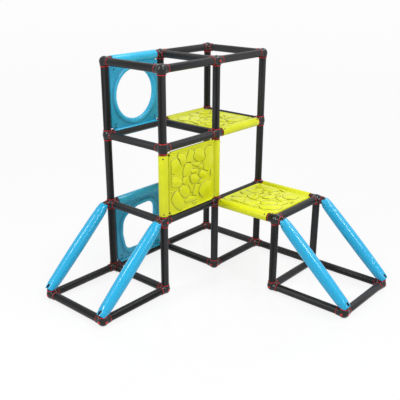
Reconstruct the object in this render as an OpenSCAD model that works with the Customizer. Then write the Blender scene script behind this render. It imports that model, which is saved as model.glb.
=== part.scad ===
// Toddler climbing gym.
// Equal plastic tubes push into moulded connectors on a square grid. Two tower cells stand three levels
// high, a low deck stands beside them, and two ramps with padded rails lead up to the first level.
// X runs from the tower towards the right ramp, Y runs away from the left ramp, and Z is up.
// The origin is on the floor under the middle of the whole gym.

/* [Tubes] */
// Outside diameter of every tube
tube_d = 44; // [40:0.5:45]
// Wall thickness of the tubes
tube_wall = 3; // [2:0.5:5]
// Length of a straight tube that shows between its two collars
tube_span = 356; // [330:2:420]

/* [Connectors] */
// Diameter of the ball at the middle of a connector
ball_d = 56; // [54:0.5:60]
// Outside diameter of a socket
socket_d = 50; // [48:0.5:52]
// From the middle of a connector to the mouth of a level socket
level_reach = 37; // [34:0.5:42]
// From the middle of a connector to the mouth of an upright socket
upright_reach = 26; // [24:0.5:31]
// Gap all round between a tube and its socket
socket_gap = 0.2; // [0.1:0.05:0.5]
// Wall between a level socket and the upright bore
socket_web = 1.5; // [1:0.25:3]
// Width of the ledge that stops an upright tube
stop_ledge = 5; // [3:0.5:8]
// Depth of the flat cut under a floor connector
foot_cut = 1; // [0.5:0.1:1.6]

/* [Collars and plugs] */
// Outside diameter of a collar
collar_d = 52.4; // [50:0.2:53.4]
// Width of a collar
collar_w = 5; // [3:0.5:8]
// Diameter of a plug on a blank connector face
plug_d = 13; // [8:0.5:16]
// How far a plug stands out of the ball
plug_proud = 1.5; // [0.5:0.25:3]
// How deep a plug sits in the ball
plug_depth = 4; // [2:0.5:5]
// Gap all round between a plug and its recess
plug_gap = 0.1; // [0.05:0.05:0.4]

/* [Ramps] */
// Length of a ramp's floor rail that shows between its two collars
ramp_span = 386; // [340:2:440]
// From a collar's outer face to the bend of the elbow beyond it
bend_out = 10.5; // [10:0.5:16]
// Length of the elbow socket along the sloping brace
elbow_socket = 36; // [32:1:50]
// From the bend to the end of the brace tube inside that socket
elbow_stop = 15; // [14:0.5:20]
// Solid length of the stub below the bend
elbow_core = 12; // [6:1:16]

/* [Pads] */
// Diameter of a pad at its middle
pad_d = 75; // [68:1:84]
// Diameter of the petals at a pad's ends
pad_end_d = 60; // [58:0.5:64]
// From the bend of the elbow to the end of the pad
pad_start = 13.5; // [13:0.5:15]
// Length of the straight petal band at each end
petal_len = 24; // [20:1:34]
// Length over which a pad swells to its full diameter
swell_len = 70; // [40:5:110]
// Thickness of the vinyl cover
cover_t = 1.2; // [0.8:0.1:2]
// Number of petals at each end
petals = 4; // [3:1:6]
// Diameter of the round notch between two petals
petal_notch = 16; // [8:1:20]
// Diameter of a stud's head
stud_d = 8; // [5:0.5:10]
// Height of a stud's head
stud_h = 2; // [1:0.25:3]
// Diameter of a stud's shank
stud_shank = 3.6; // [2:0.2:4]
// Depth of a stud's shank under its head
stud_depth = 3; // [2.4:0.1:3.2]

/* [Panel sleeves] */
// Gap all round between a tube and a panel sleeve
sleeve_gap = 0.3; // [0.2:0.05:0.6]
// Wall thickness of the sleeves
sleeve_wall = 4; // [3:0.1:4.5]
// Space between a sleeve's end and the collar beside it
sleeve_end = 5; // [2:0.5:12]

/* [Pebble panels] */
// Thickness of the pebble plate
plate_t = 12; // [8:0.5:14]
// Height of the plate's face above the tube axes
plate_face = 14; // [12:0.5:16]
// Space between the plate's end and the cross tube
plate_end = 8; // [7:0.5:20]
// Height of the stones above the plate
stone_h = 7; // [3:0.5:10]
// Width of the raised rim along the plate's ends
rim_w = 9; // [5:0.5:14]
// Height of the rim above the plate
rim_h = 4; // [2:0.5:6]
// Diameter of the drain hole in each corner
drain_d = 9; // [5:0.5:12]

/* [Crawl panels] */
// Diameter of the round crawl hole in the upper panel
hole_d = 290; // [250:2:300]
// Height of the cave-shaped crawl hole in the lower panel
cave_h = 274; // [240:2:286]
// Diameter of the round bead along a hole's edge
bead_d = 31; // [24:1:34]
// Thickness of the crawl plate
crawl_t = 12; // [8:0.5:16]
// Space between the crawl plate's side and the post axis beyond the tube
crawl_side = 7; // [6.5:0.5:20]
// Angle of the opening of the clip on the lower tube
clip_open = 140; // [100:5:160]

/* [Screws] */
// Diameter of a screw head
screw_head_d = 8; // [6:0.5:9]
// Height of a screw head
screw_head_h = 2.5; // [1.5:0.25:4]
// Diameter of a screw shank
screw_d = 4; // [3:0.25:5]
// Length of a crawl panel screw under its head
crawl_screw_len = 9; // [5:0.5:10]
// From a sleeve's end to the screw in it
screw_inset = 14; // [10:1:30]
// Depth of the flat seat for a screw head on a sleeve
screw_seat = 1.2; // [0.8:0.1:1.6]
// From the side of a crawl plate to the screws in its corners
crawl_screw_in = 33; // [26:1:40]
// From a tube axis up or down to the corner screws beside it
crawl_screw_up = 52; // [46:1:60]
// From a lower corner screw to the second one below it
crawl_screw_step = 17; // [10:0.5:17]

/* [Hidden] */
$fn = 64;
eps = 0.01;
tube_r = tube_d / 2;
ball_r = ball_d / 2;
socket_r = socket_d / 2;
collar_r = collar_d / 2;
bore_r = tube_r + socket_gap;

// The level stop clears the upright bore by the web, and both sockets take in the same length of tube.
level_stop = bore_r + socket_web;
insert = level_reach - level_stop;
upright_stop = upright_reach - insert;

// Spacing of the connector middles along the level rails, along a ramp's floor rails and up the posts.
pitch = tube_span + 2 * (collar_w + level_reach);
ramp_pitch = ramp_span + 2 * (collar_w + level_reach);
level_h = tube_span + 2 * (collar_w + upright_reach);

// The slope between the two bends of a brace.
upper_bend = level_reach + collar_w + bend_out;
lower_bend = upright_reach + collar_w + bend_out;
brace_run = ramp_pitch - upper_bend;
brace_rise = level_h - lower_bend;
brace_angle = atan2(brace_rise, brace_run);
brace_reach = sqrt(brace_run * brace_run + brace_rise * brace_rise);

// Lowest and highest grid joints, counted from the foot of the tower's left post, and the grid lines
// where the right ramp and the left ramp start.
GRID_LOW = [0, -1, 0];
GRID_HIGH = [3, 2, 3];
RIGHT_RAMP_FROM = 2;
LEFT_RAMP_FROM = 0;
LEVELS = GRID_HIGH[2];
pad_r = pad_d / 2;
outer_r = ball_r + plug_proud;
x_low = on_grid(GRID_LOW)[0] - max(pad_r, outer_r);
x_high = on_grid(GRID_HIGH)[0] + outer_r;
y_low = on_grid(GRID_LOW)[1] - outer_r;
y_high = on_grid(GRID_HIGH)[1] + max(pad_r, outer_r);
floor_h = ball_r - foot_cut;
shift = [-(x_low + x_high) / 2, -(y_low + y_high) / 2, floor_h];

// Rails by the grid joint at their low end.
X_RAILS = [
    [0, -1, 0], [0, 0, 0], [0, 1, 0], [0, 2, 0], [1, 2, 0], [2, 1, 0], [2, 2, 0],
    [0, 0, 1], [1, 1, 1], [1, 2, 1],
    [0, 0, 2], [0, 1, 2], [0, 2, 2],
    [0, 0, 3], [0, 1, 3], [0, 2, 3]
];
Y_RAILS = [
    [0, -1, 0], [1, -1, 0], [0, 0, 0], [0, 1, 0], [1, 1, 0], [2, 1, 0], [3, 1, 0],
    [0, 0, 1], [0, 1, 1], [1, 0, 1], [1, 1, 1], [2, 1, 1],
    [0, 0, 2], [0, 1, 2], [1, 0, 2], [1, 1, 2],
    [0, 0, 3], [0, 1, 3], [1, 0, 3], [1, 1, 3]
];

// Posts as grid column and number of tubes.
LEFT_POST = [0, 0, LEVELS];
FRONT_POST = [1, 0, LEVELS];
BACK_MIDDLE_POST = [0, 1, LEVELS];
FRONT_MIDDLE_POST = [1, 1, LEVELS];
BACK_POST = [0, 2, LEVELS];
RIGHT_POST = [1, 2, LEVELS];
DECK_FRONT_POST = [2, 1, 1];
DECK_BACK_POST = [2, 2, 1];
TOWER_POSTS = [LEFT_POST, FRONT_POST, BACK_MIDDLE_POST, FRONT_MIDDLE_POST, BACK_POST, RIGHT_POST];
DECK_POSTS = [DECK_FRONT_POST, DECK_BACK_POST];
POSTS = concat(TOWER_POSTS, DECK_POSTS);
UPRIGHTS = [for (p = POSTS) for (k = [0:p[2] - 1]) [p[0], p[1], k]];

// Ramp rails by the connector at their upper end and the way they lead.
LEFT_BACK_RAMP = [[0, 0, 1], [0, -1, 0]];
LEFT_FRONT_RAMP = [[1, 0, 1], [0, -1, 0]];
RIGHT_FRONT_RAMP = [[2, 1, 1], [1, 0, 0]];
RIGHT_BACK_RAMP = [[2, 2, 1], [1, 0, 0]];
RAMPS = [LEFT_BACK_RAMP, LEFT_FRONT_RAMP, RIGHT_FRONT_RAMP, RIGHT_BACK_RAMP];
RAMP_FEET = [for (r = RAMPS) r[0] + r[1] - [0, 0, 1]];

// The six ways a socket can point.
WAYS = [[1, 0, 0], [-1, 0, 0], [0, 1, 0], [0, -1, 0], [0, 0, 1], [0, 0, -1]];

// Blank connector faces above the floor that carry a plug.
HIGH_PLUGS = [
    [[0, 0, 2], [-1, 0, 0]], [[0, 0, 3], [-1, 0, 0]], [[1, 2, 2], [0, 1, 0]],
    [[1, 1, 3], [1, 0, 0]], [[1, 0, 1], [1, 0, 0]]
];

// Stones of the pebble plate: place across and along the plate, length and width, all as shares of the
// room between the rims, and turn.
STONES = [
    [-0.382, 0.277, 0.335, 0.243, 72], [-0.208, 0.425, 0.121, 0.098, 30],
    [-0.052, 0.353, 0.277, 0.191, 84], [0.202, 0.376, 0.249, 0.225, 110],
    [0.405, 0.22, 0.41, 0.191, 80], [-0.133, 0.156, 0.22, 0.139, 80],
    [0.075, 0.191, 0.087, 0.081, 0], [0.214, 0.15, 0.156, 0.116, 60],
    [0.116, 0.029, 0.266, 0.133, 74], [0.301, -0.058, 0.156, 0.139, 20],
    [-0.376, -0.023, 0.266, 0.179, 22], [-0.133, -0.023, 0.127, 0.092, 70],
    [-0.023, -0.012, 0.098, 0.081, 40], [-0.15, -0.22, 0.312, 0.162, 64],
    [-0.012, -0.301, 0.173, 0.11, 70], [0.11, -0.22, 0.272, 0.121, 76],
    [0.341, -0.289, 0.335, 0.237, 64], [-0.341, -0.335, 0.318, 0.208, 118],
    [-0.116, -0.439, 0.133, 0.081, 10], [0.127, -0.434, 0.162, 0.081, 4],
    [0.48, -0.087, 0.116, 0.075, 80], [-0.48, -0.191, 0.116, 0.064, 84],
    [-0.468, 0.058, 0.098, 0.064, 100]
];

// Round corners of the cave-shaped hole, counter-clockwise: place across, place up and radius, all as
// shares of the hole's height.
CAVE = [
    [0.275, 0.293, 0.209], [0.018, 0.198, 0.293], [-0.227, 0.128, 0.26], [-0.249, -0.029, 0.253],
    [-0.242, -0.271, 0.209], [0.212, -0.249, 0.249]
];

// Bands of a stepped bead, as shares of its width and of its thickness.
BEAD_BANDS = [[0.5, 1], [0.8, 0.8], [1, 0.5]];

// Derived sizes of the panels.
sleeve_bore_r = tube_r + sleeve_gap;
sleeve_r = sleeve_bore_r + sleeve_wall;
sleeve_len = tube_span - 2 * sleeve_end;
wall_len = level_h - 2 * (tube_r + plate_end);
platform_len = pitch - 2 * (tube_r + plate_end);
stone_room = wall_len - 2 * rim_w;
screw_angle = 45;
screw_gap = 0.15;
screw_hole_r = screw_d / 2 + screw_gap;
screw_seat_r = screw_head_d / 2 + screw_gap;
screw_face = sleeve_r - screw_seat;
screw_at = sleeve_len / 2 - screw_inset;
drain_in = sleeve_r + drain_d;
corner_clear = 1;
bead_r = bead_d / 2;
crawl_half = pitch / 2 - tube_r - crawl_side;
crawl_edge = max(upright_reach + collar_w, ball_r) + corner_clear;

// Derived sizes of the pads.
pad_len = brace_reach - 2 * pad_start;
pad_end_r = pad_end_d / 2;
fabric_gap = 0.3;
pad_bore_gap = 0.5;
elbow_cover = elbow_socket + 2 * pad_bore_gap - pad_start;
stud_at = petal_len / 2;
SWELL_STEPS = 6;

BLACK = [0.16, 0.16, 0.17];
RED = [0.82, 0.15, 0.17];
LIME = [0.86, 0.89, 0.12];
BLUE = [0.2, 0.66, 0.84];
FOAM = [0.35, 0.36, 0.38];
DARK = [0.1, 0.1, 0.12];

// Place of a grid joint from the foot of the tower's left post. The ramps have longer rails.
function on_grid(p) = [
    p[0] * pitch + max(p[0] - RIGHT_RAMP_FROM, 0) * (ramp_pitch - pitch),
    p[1] * pitch + min(p[1] - LEFT_RAMP_FROM, 0) * (ramp_pitch - pitch),
    p[2] * level_h
];

// Place of a grid joint in the gym's own frame.
function at(p) = on_grid(p) + shift;

// True when a list holds a value.
function holds(list, value) = len([for (v = list) if (v == value) 1]) > 0;

// True when a connector has a socket that way.
function has_arm(p, way) =
    way[0] == 1 ? holds(X_RAILS, p) || holds(RAMPS, [p, way]) :
    way[0] == -1 ? holds(X_RAILS, p + way) :
    way[1] == 1 ? holds(Y_RAILS, p) :
    way[1] == -1 ? holds(Y_RAILS, p + way) || holds(RAMPS, [p, way]) :
    way[2] == 1 ? holds(UPRIGHTS, p) || holds(RAMP_FEET, p) :
    holds(UPRIGHTS, p + way);

// Distance from the middle of a connector to a socket's mouth.
function reach(way) = way[2] == 0 ? level_reach : upright_reach;

// Distance from the middle of a connector to a socket's stop.
function stop(way) = way[2] == 0 ? level_stop : upright_stop;

// Joints of one level that belong to the tower.
function tower_joints(k) = [for (p = TOWER_POSTS) [p[0], p[1], k]];

// Joints of one level that belong to the deck.
function deck_joints(k) = [for (p = DECK_POSTS) [p[0], p[1], k]];

function floor_joints() = concat(tower_joints(0), deck_joints(0), RAMP_FEET);

function rails_at(list, k) = [for (r = list) if (r[2] == k) r];

// Turns the Z axis to point along one of the six ways.
module point(way) {
    turn = way[2] == 1 ? [0, 0, 0] : way[2] == -1 ? [180, 0, 0] : [0, 90, atan2(way[1], way[0])];
    rotate(turn) children();
}

// A round ring along Z.
module ring(outer, inner, length) {
    difference() {
        cylinder(r = outer, h = length);
        translate([0, 0, -eps]) cylinder(r = inner, h = length + 2 * eps);
    }
}

// A tube that starts at a joint's stop and runs to the next joint's stop.
module tube(p, way) {
    translate(at(p)) point(way) translate([0, 0, stop(way)])
        ring(tube_r, tube_r - tube_wall, norm(at(p + way) - at(p)) - 2 * stop(way));
}

module rails(list, way) {
    color(BLACK) for (p = list) tube(p, way);
}

module post(column) {
    color(BLACK) for (k = [0:column[2] - 1]) tube([column[0], column[1], k], [0, 0, 1]);
}

// A connector: a ball with a socket for every tube that meets there.
module connector(p) {
    plugged = [for (q = plug_places()) if (q[0] == p) q[1]];
    translate(at(p)) difference() {
        union() {
            sphere(r = ball_r);
            for (way = WAYS) if (has_arm(p, way)) point(way) cylinder(r = socket_r, h = reach(way));
        }
        for (way = WAYS) if (has_arm(p, way))
            point(way) translate([0, 0, stop(way)]) cylinder(r = bore_r, h = level_reach);
        for (way = plugged)
            point(way) translate([0, 0, ball_r - plug_depth]) cylinder(d = plug_d + 2 * plug_gap, h = ball_r);
        translate([0, 0, -upright_stop - eps])
            cylinder(r = bore_r - stop_ledge, h = 2 * (upright_stop + eps));
        if (p[2] == 0)
            translate([-ball_d, -ball_d, -floor_h - ball_d]) cube([2 * ball_d, 2 * ball_d, ball_d]);
    }
}

module connectors(list) {
    color(BLACK) for (p = list) connector(p);
}

// The collars at the mouths of a connector's sockets.
module collars(list) {
    color(RED) for (p = list) for (way = WAYS) if (has_arm(p, way))
        translate(at(p)) point(way) translate([0, 0, reach(way)]) ring(collar_r, bore_r, collar_w);
}

// Every blank level face of a floor connector has a plug, and so have a few faces higher up.
function plug_places() = concat(
    [for (p = floor_joints()) for (way = WAYS) if (way[2] == 0 && !has_arm(p, way)) [p, way]],
    HIGH_PLUGS
);

module connector_plugs() {
    color(RED) for (q = plug_places())
        translate(at(q[0])) point(q[1]) translate([0, 0, ball_r - plug_depth])
            cylinder(d = plug_d, h = plug_depth + plug_proud);
}

// Puts X along the way that a ramp leads, with the upper connector at the origin.
module on_ramp(ramp) {
    translate(at(ramp[0])) rotate([0, 0, atan2(ramp[1][1], ramp[1][0])]) children();
}

// Puts Z along a ramp's brace, from the upper bend down to the lower one.
module on_brace(ramp) {
    on_ramp(ramp) translate([upper_bend, 0, 0]) rotate([0, 90 + brace_angle, 0]) children();
}

// An elbow with its bend at the origin: a stub down the Z axis and a socket turned towards X.
// The bend keeps the tube's diameter, so that it clears the collar, and the socket swells past it.
module elbow(turn, stub) {
    difference() {
        union() {
            translate([0, 0, -stub]) cylinder(r = tube_r, h = stub);
            sphere(r = tube_r);
            rotate([0, turn, 0]) {
                cylinder(r = tube_r, h = elbow_stop);
                translate([0, 0, elbow_stop - socket_web])
                    cylinder(r = socket_r, h = elbow_socket - elbow_stop + socket_web);
            }
        }
        rotate([0, turn, 0]) translate([0, 0, elbow_stop]) cylinder(r = bore_r, h = elbow_socket);
        translate([0, 0, -stub - eps]) cylinder(r = tube_r - tube_wall, h = stub - elbow_core + eps);
    }
}

module upper_elbows() {
    color(BLACK) for (ramp = RAMPS)
        on_ramp(ramp) translate([upper_bend, 0, 0]) rotate([0, 90, 0])
            elbow(brace_angle, upper_bend - level_stop);
}

module lower_elbows() {
    color(BLACK) for (ramp = RAMPS)
        on_ramp(ramp) translate([ramp_pitch, 0, lower_bend - level_h])
            elbow(brace_angle - 90, lower_bend - upright_stop);
}

module brace(ramp) {
    color(BLACK) on_brace(ramp) translate([0, 0, elbow_stop])
        ring(tube_r, tube_r - tube_wall, brace_reach - 2 * elbow_stop);
}

// Outline of a pad from its middle to its upper end, drawn in by an amount all over.
function half_pad(inset) = concat(
    [for (k = [0:SWELL_STEPS])
        let (f = 90 * k / SWELL_STEPS, swell_end = pad_len / 2 - petal_len)
        [pad_r - inset - (pad_r - pad_end_r) * (1 - cos(f)), swell_end - swell_len * (1 - sin(f))]],
    [[pad_end_r - inset, pad_len / 2]]
);

// A pad's full solid of revolution along Z, with its bore wider over the elbow sockets.
module pad_body(inset, bore_mid, bore_end) {
    half = half_pad(inset);
    count = len(half);
    lower = [for (k = [count - 1:-1:0]) [half[k][0], -half[k][1]]];
    inner = [
        [bore_end, pad_len / 2], [bore_end, pad_len / 2 - elbow_cover],
        [bore_mid, pad_len / 2 - elbow_cover], [bore_mid, elbow_cover - pad_len / 2],
        [bore_end, elbow_cover - pad_len / 2], [bore_end, -pad_len / 2]
    ];
    rotate_extrude() polygon(concat(lower, half, inner));
}

// Copies a child to every petal at both ends of a pad, pointing outwards along Z.
module at_petals(from_end, turn) {
    for (side = [-1, 1]) for (k = [0:petals - 1])
        translate([0, 0, side * (pad_len / 2 - from_end)])
            rotate([0, 0, (k + turn) * 360 / petals]) rotate([0, 90, 0]) children();
}

module on_pad(ramp) {
    on_brace(ramp) translate([0, 0, brace_reach / 2]) children();
}

module stud_holes() {
    at_petals(stud_at, 0) cylinder(d = stud_shank + fabric_gap, h = pad_d);
}

module notches() {
    at_petals(0, 0.5) cylinder(d = petal_notch, h = pad_d);
}

module foam(ramp) {
    color(FOAM) on_pad(ramp) difference() {
        pad_body(cover_t + fabric_gap, tube_r + pad_bore_gap, socket_r + pad_bore_gap);
        stud_holes();
        notches();
    }
}

module pad(ramp) {
    color(BLUE) on_pad(ramp) difference() {
        pad_shell();
        stud_holes();
        notches();
    }
}

// The vinyl cover alone: the pad's outside less the same outline drawn in by the cover's thickness.
module pad_shell() {
    outer = half_pad(0);
    inner = half_pad(cover_t);
    count = len(outer);
    rotate_extrude() polygon(concat(
        [for (k = [count - 1:-1:0]) [outer[k][0], -outer[k][1]]],
        outer,
        [for (k = [count - 1:-1:0]) inner[k]],
        [for (k = [0:count - 1]) [inner[k][0], -inner[k][1]]]
    ));
}

module pad_studs() {
    color(DARK) for (ramp = RAMPS) on_pad(ramp) at_petals(stud_at, 0) {
        translate([0, 0, pad_end_r]) cylinder(d = stud_d, h = stud_h);
        translate([0, 0, pad_end_r - stud_depth]) cylinder(d = stud_shank, h = stud_depth + eps);
    }
}

// A flat stone with round ends.
module stone(place, length, width, turn) {
    half = (length - width) / 2;
    translate(place) rotate(turn) {
        for (end = [-half, half]) translate([end, 0]) circle(d = width);
        square([2 * half, width], center = true);
    }
}

// A pebble panel: X runs from sleeve to sleeve, Y runs along the tubes and Z out of the pebble face. The
// plate is as long as its cell leaves room for.
module pebble_panel(plate_len) {
    half = pitch / 2;
    difference() {
        union() {
            translate([-half, -plate_len / 2, plate_face - plate_t]) cube([pitch, plate_len, plate_t]);
            for (side = [-1, 1]) {
                translate([-half, side * (plate_len - rim_w) / 2 - rim_w / 2, plate_face - eps])
                    cube([pitch, rim_w, rim_h + eps]);
                translate([side * half, sleeve_len / 2, 0]) rotate([90, 0, 0])
                    cylinder(r = sleeve_r, h = sleeve_len);
            }
            translate([0, 0, plate_face - eps]) linear_extrude(stone_h + eps)
                for (s = STONES) stone(stone_room * [s[0], s[1]], stone_room * s[2], stone_room * s[3], s[4]);
        }
        for (side = [-1, 1]) {
            translate([side * half, plate_len, 0]) rotate([90, 0, 0])
                cylinder(r = sleeve_bore_r, h = 2 * plate_len);
            for (end = [-1, 1]) {
                translate([side * half, end * (sleeve_len + plate_len) / 2, 0])
                    cube([2 * sleeve_r, plate_len, 4 * sleeve_r], center = true);
                translate([side * (half - drain_in), end * (plate_len / 2 - drain_d), 0])
                    cylinder(d = drain_d, h = 4 * plate_face, center = true);
            }
        }
        at_sleeve_screws() {
            cylinder(r = screw_hole_r, h = sleeve_r);
            translate([0, 0, screw_face]) cylinder(r = screw_seat_r, h = sleeve_r);
        }
    }
}

// Copies a child to each sleeve screw of a pebble panel, pointing outwards along Z.
module at_sleeve_screws() {
    for (side = [-1, 1]) for (end = [-1, 1])
        translate([side * pitch / 2, end * screw_at, 0]) rotate([0, side * screw_angle, 0]) children();
}

module sleeve_screws() {
    at_sleeve_screws() {
        translate([0, 0, screw_face]) cylinder(d = screw_head_d, h = screw_head_h);
        translate([0, 0, sleeve_bore_r]) cylinder(d = screw_d, h = screw_face - sleeve_bore_r + eps);
    }
}

// Frames of the three pebble panels.
module on_upper_platform() {
    translate(at([0.5, 1.5, 2])) children();
}

module on_lower_platform() {
    translate(at([1.5, 1.5, 1])) rotate([0, 0, 90]) children();
}

module on_climbing_wall() {
    translate(at([1, 0.5, 1.5])) rotate([90, 0, 90]) children();
}

// Wedge of the clip's opening, on the inner and lower side of the lower tube.
module clip_wedge() {
    far = 2 * sleeve_r;
    low = -90;
    high = clip_open + low;
    mid = (low + high) / 2;
    rotate([90, 0, 0]) linear_extrude(2 * pitch, center = true) polygon([
        [0, 0], far * [cos(low), sin(low)], 2 * far * [cos(mid), sin(mid)], far * [cos(high), sin(high)]
    ]);
}

// The round hole, cut back to the middle line of its bead.
module round_hole() {
    rotate([0, 90, 0]) cylinder(r = hole_d / 2 + bead_r, h = 2 * crawl_t, center = true);
}

module round_bead() {
    rotate([0, 90, 0]) rotate_extrude() translate([hole_d / 2 + bead_r, 0]) circle(r = bead_r);
}

// Corner k of the cave-shaped hole at its true size, grown outwards.
function corner(k, grow) = CAVE[(k + len(CAVE)) % len(CAVE)] * cave_h + [0, 0, grow];

// Angle of the straight side that follows corner k, as the way that its outer normal points.
function side_angle(k) =
    let (a = corner(k, 0), b = corner(k + 1, 0), run = [b[0] - a[0], b[1] - a[1]])
    atan2(run[1], run[0]) - acos((a[2] - b[2]) / norm(run));

// Point of a corner where its outer normal has an angle.
function corner_point(a, angle) = [a[0] + a[2] * cos(angle), a[1] + a[2] * sin(angle)];

// Flat outline of the cave-shaped hole, grown outwards: round corners with straight sides between them.
module cave(grow) {
    last = len(CAVE) - 1;
    polygon([for (k = [0:last]) for (n = [-1, 0]) corner_point(corner(k, grow), side_angle(k + n))]);
    for (k = [0:last]) translate([corner(k, grow)[0], corner(k, grow)[1]]) circle(r = corner(k, grow)[2]);
}

// Extrudes a flat outline to both sides of the panel's plane, with its X along the tubes and its Y up.
module upright(thickness) {
    rotate([90, 0, 90]) linear_extrude(thickness, center = true) children();
}

module cave_hole() {
    upright(2 * crawl_t) cave(bead_r);
}

// The bead of the cave-shaped hole steps down from its middle line to both sides.
module cave_bead() {
    for (band = BEAD_BANDS) upright(bead_d * band[1]) difference() {
        cave(bead_r + bead_r * band[0]);
        cave(bead_r - bead_r * band[0]);
    }
}

// A crawl panel round its hole, the first child, and bead, the second.
// Y runs along its tubes, Z from the lower tube at -level_h / 2 to the upper one.
module crawl_panel() {
    half = level_h / 2;
    difference() {
        union() {
            difference() {
                union() {
                    translate([-crawl_t / 2, -crawl_half, crawl_edge - half])
                        cube([crawl_t, 2 * crawl_half, level_h - 2 * crawl_edge]);
                    translate([-crawl_t / 2, -sleeve_len / 2, -half]) cube([crawl_t, sleeve_len, level_h]);
                }
                children(0);
            }
            children(1);
            for (side = [-1, 1])
                translate([0, sleeve_len / 2, side * half]) rotate([90, 0, 0])
                    cylinder(r = sleeve_r, h = sleeve_len);
        }
        for (side = [-1, 1])
            translate([0, pitch, side * half]) rotate([90, 0, 0])
                cylinder(r = sleeve_bore_r, h = 2 * pitch);
        translate([0, 0, -half]) clip_wedge();
        at_crawl_screws() {
            translate([0, 0, crawl_t / 2 - crawl_screw_len - screw_gap])
                cylinder(r = screw_hole_r, h = crawl_t);
            translate([0, 0, crawl_t / 2]) cylinder(r = screw_seat_r, h = bead_d);
        }
    }
}

// Copies a child to the screws of a crawl panel: one in each upper corner and two in each lower one.
module at_crawl_screws() {
    far = crawl_half - crawl_screw_in;
    high = level_h / 2 - crawl_screw_up;
    for (side = [-1, 1]) for (z = [high, -high, -high - crawl_screw_step])
        translate([0, side * far, z]) rotate([0, 90, 0]) children();
}

module crawl_screws() {
    at_crawl_screws() {
        translate([0, 0, crawl_t / 2]) cylinder(d = screw_head_d, h = screw_head_h);
        translate([0, 0, crawl_t / 2 - crawl_screw_len]) cylinder(d = screw_d, h = crawl_screw_len + eps);
    }
}

module on_upper_crawl() {
    translate(at([0, 0.5, 2.5])) children();
}

module on_lower_crawl() {
    translate(at([0, 0.5, 0.5])) children();
}

module floor_rails_x() { rails(rails_at(X_RAILS, 0), [1, 0, 0]); }
module floor_rails_y() { rails(rails_at(Y_RAILS, 0), [0, 1, 0]); }
module level1_rails_x() { rails(rails_at(X_RAILS, 1), [1, 0, 0]); }
module level1_rails_y() { rails(rails_at(Y_RAILS, 1), [0, 1, 0]); }
module level2_rails_x() { rails(rails_at(X_RAILS, 2), [1, 0, 0]); }
module level2_rails_y() { rails(rails_at(Y_RAILS, 2), [0, 1, 0]); }
module top_rails_x() { rails(rails_at(X_RAILS, LEVELS), [1, 0, 0]); }
module top_rails_y() { rails(rails_at(Y_RAILS, LEVELS), [0, 1, 0]); }
module left_post() { post(LEFT_POST); }
module front_post() { post(FRONT_POST); }
module back_middle_post() { post(BACK_MIDDLE_POST); }
module front_middle_post() { post(FRONT_MIDDLE_POST); }
module back_post() { post(BACK_POST); }
module right_post() { post(RIGHT_POST); }
module deck_front_post() { post(DECK_FRONT_POST); }
module deck_back_post() { post(DECK_BACK_POST); }
module tower_feet() { connectors(tower_joints(0)); }
module deck_feet() { connectors(deck_joints(0)); }
module ramp_feet() { connectors(RAMP_FEET); }
module level1_connectors() { connectors(tower_joints(1)); }
module deck_connectors() { connectors(deck_joints(1)); }
module level2_connectors() { connectors(tower_joints(2)); }
module top_connectors() { connectors(tower_joints(LEVELS)); }
module floor_collars() { collars(floor_joints()); }
module level1_collars() { collars(concat(tower_joints(1), deck_joints(1))); }
module level2_collars() { collars(tower_joints(2)); }
module top_collars() { collars(tower_joints(LEVELS)); }
module left_back_brace() { brace(LEFT_BACK_RAMP); }
module left_front_brace() { brace(LEFT_FRONT_RAMP); }
module right_front_brace() { brace(RIGHT_FRONT_RAMP); }
module right_back_brace() { brace(RIGHT_BACK_RAMP); }
module left_back_foam() { foam(LEFT_BACK_RAMP); }
module left_front_foam() { foam(LEFT_FRONT_RAMP); }
module right_front_foam() { foam(RIGHT_FRONT_RAMP); }
module right_back_foam() { foam(RIGHT_BACK_RAMP); }
module left_back_pad() { pad(LEFT_BACK_RAMP); }
module left_front_pad() { pad(LEFT_FRONT_RAMP); }
module right_front_pad() { pad(RIGHT_FRONT_RAMP); }
module right_back_pad() { pad(RIGHT_BACK_RAMP); }
module upper_platform() { color(LIME) on_upper_platform() pebble_panel(platform_len); }
module lower_platform() { color(LIME) on_lower_platform() pebble_panel(platform_len); }
module climbing_wall() { color(LIME) on_climbing_wall() pebble_panel(wall_len); }
module upper_crawl_panel() { color(BLUE) on_upper_crawl() crawl_panel() { round_hole(); round_bead(); } }
module lower_crawl_panel() { color(BLUE) on_lower_crawl() crawl_panel() { cave_hole(); cave_bead(); } }
module upper_platform_screws() { color(DARK) on_upper_platform() sleeve_screws(); }
module lower_platform_screws() { color(DARK) on_lower_platform() sleeve_screws(); }
module climbing_wall_screws() { color(DARK) on_climbing_wall() sleeve_screws(); }
module upper_crawl_screws() { color(DARK) on_upper_crawl() crawl_screws(); }
module lower_crawl_screws() { color(DARK) on_lower_crawl() crawl_screws(); }

floor_rails_x();
floor_rails_y();
level1_rails_x();
level1_rails_y();
level2_rails_x();
level2_rails_y();
top_rails_x();
top_rails_y();
left_post();
front_post();
back_middle_post();
front_middle_post();
back_post();
right_post();
deck_front_post();
deck_back_post();
tower_feet();
deck_feet();
ramp_feet();
level1_connectors();
deck_connectors();
level2_connectors();
top_connectors();
floor_collars();
level1_collars();
level2_collars();
top_collars();
connector_plugs();
upper_elbows();
lower_elbows();
left_back_brace();
left_front_brace();
right_front_brace();
right_back_brace();
left_back_foam();
left_front_foam();
right_front_foam();
right_back_foam();
left_back_pad();
left_front_pad();
right_front_pad();
right_back_pad();
pad_studs();
upper_platform();
lower_platform();
climbing_wall();
upper_crawl_panel();
lower_crawl_panel();
upper_platform_screws();
lower_platform_screws();
climbing_wall_screws();
upper_crawl_screws();
lower_crawl_screws();
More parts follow.
